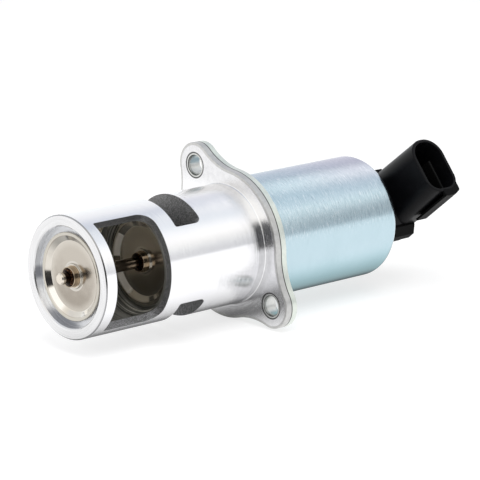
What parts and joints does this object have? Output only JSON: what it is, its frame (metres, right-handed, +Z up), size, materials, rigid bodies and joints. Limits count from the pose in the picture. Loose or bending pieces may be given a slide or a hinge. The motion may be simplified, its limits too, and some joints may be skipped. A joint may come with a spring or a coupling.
{
  "type": "exhaust gas recirculation valve",
  "caption": "Solenoid-driven exhaust gas recirculation valve: two poppets in a bored aluminium barrel with gas windows, eared mounting flange, steel can, plastic connector cover.",
  "frame": {"origin": "on the valve axis in the plane of the flange's mounting face", "axes": "+X along the valve axis towards the connector end, the barrel reaches into -X; +Z up as in the picture; -Y is the side that the connector socket leans to"},
  "size_m": [0.1597, 0.0579, 0.0594],
  "materials": {
    "cast_aluminium": "turned bright",
    "bronze": "sintered",
    "hard_steel": "bright",
    "eyelet_steel": "zinc plated",
    "zinc_steel": "blue zinc plated",
    "pole_steel": "turned",
    "shim_brass": "rolled",
    "sleeve_steel": "drawn",
    "bobbin_plastic": "moulded",
    "copper_wire": "enamelled",
    "seal_rubber": "moulded",
    "cover_plastic": "moulded satin",
    "terminal_tin": "tinned",
    "board_ceramic": "printed",
    "stem_steel": "ground",
    "disc_steel": "pressed",
    "slider_plastic": "moulded",
    "wiper_brass": "bright",
    "spring_steel": "drawn"
  },
  "bodies": {
    "valve_body": {"barrel_housing": "cast_aluminium", "stem_guide_bush": "bronze", "stem_scraper": "hard_steel", "ear_eyelets": "eyelet_steel", "solenoid_can": "zinc_steel", "front_pole": "pole_steel", "anti_stick_washer": "shim_brass", "armature_sleeve": "sleeve_steel", "rear_pole": "pole_steel", "coil_bobbin": "bobbin_plastic", "coil_winding": "copper_wire", "coil_leads": "copper_wire", "can_seal_ring": "seal_rubber", "rear_cover": "cover_plastic", "cover_seal_ring": "seal_rubber", "cover_retainer": "hard_steel", "connector_terminals": "terminal_tin", "sensor_board": "board_ceramic", "return_spring": "spring_steel", "sensor_spring": "spring_steel"},
    "stem_group": {"valve_stem": "stem_steel", "front_poppet": "disc_steel", "rear_poppet": "disc_steel", "spring_retainer": "hard_steel", "retainer_collets": "hard_steel", "armature": "pole_steel", "sensor_slider": "slider_plastic", "slider_wipers": "wiper_brass"}
  },
  "joints": [
    {"name": "valve_lift", "type": "slide", "parent": "valve_body", "child": "stem_group", "axis": [-1, 0, 0], "range_m": [0, 0.0045], "stiffness_N_per_m": 3000, "springref_m": -0.008, "deforming": ["return_spring", "sensor_spring"]}
  ]
}
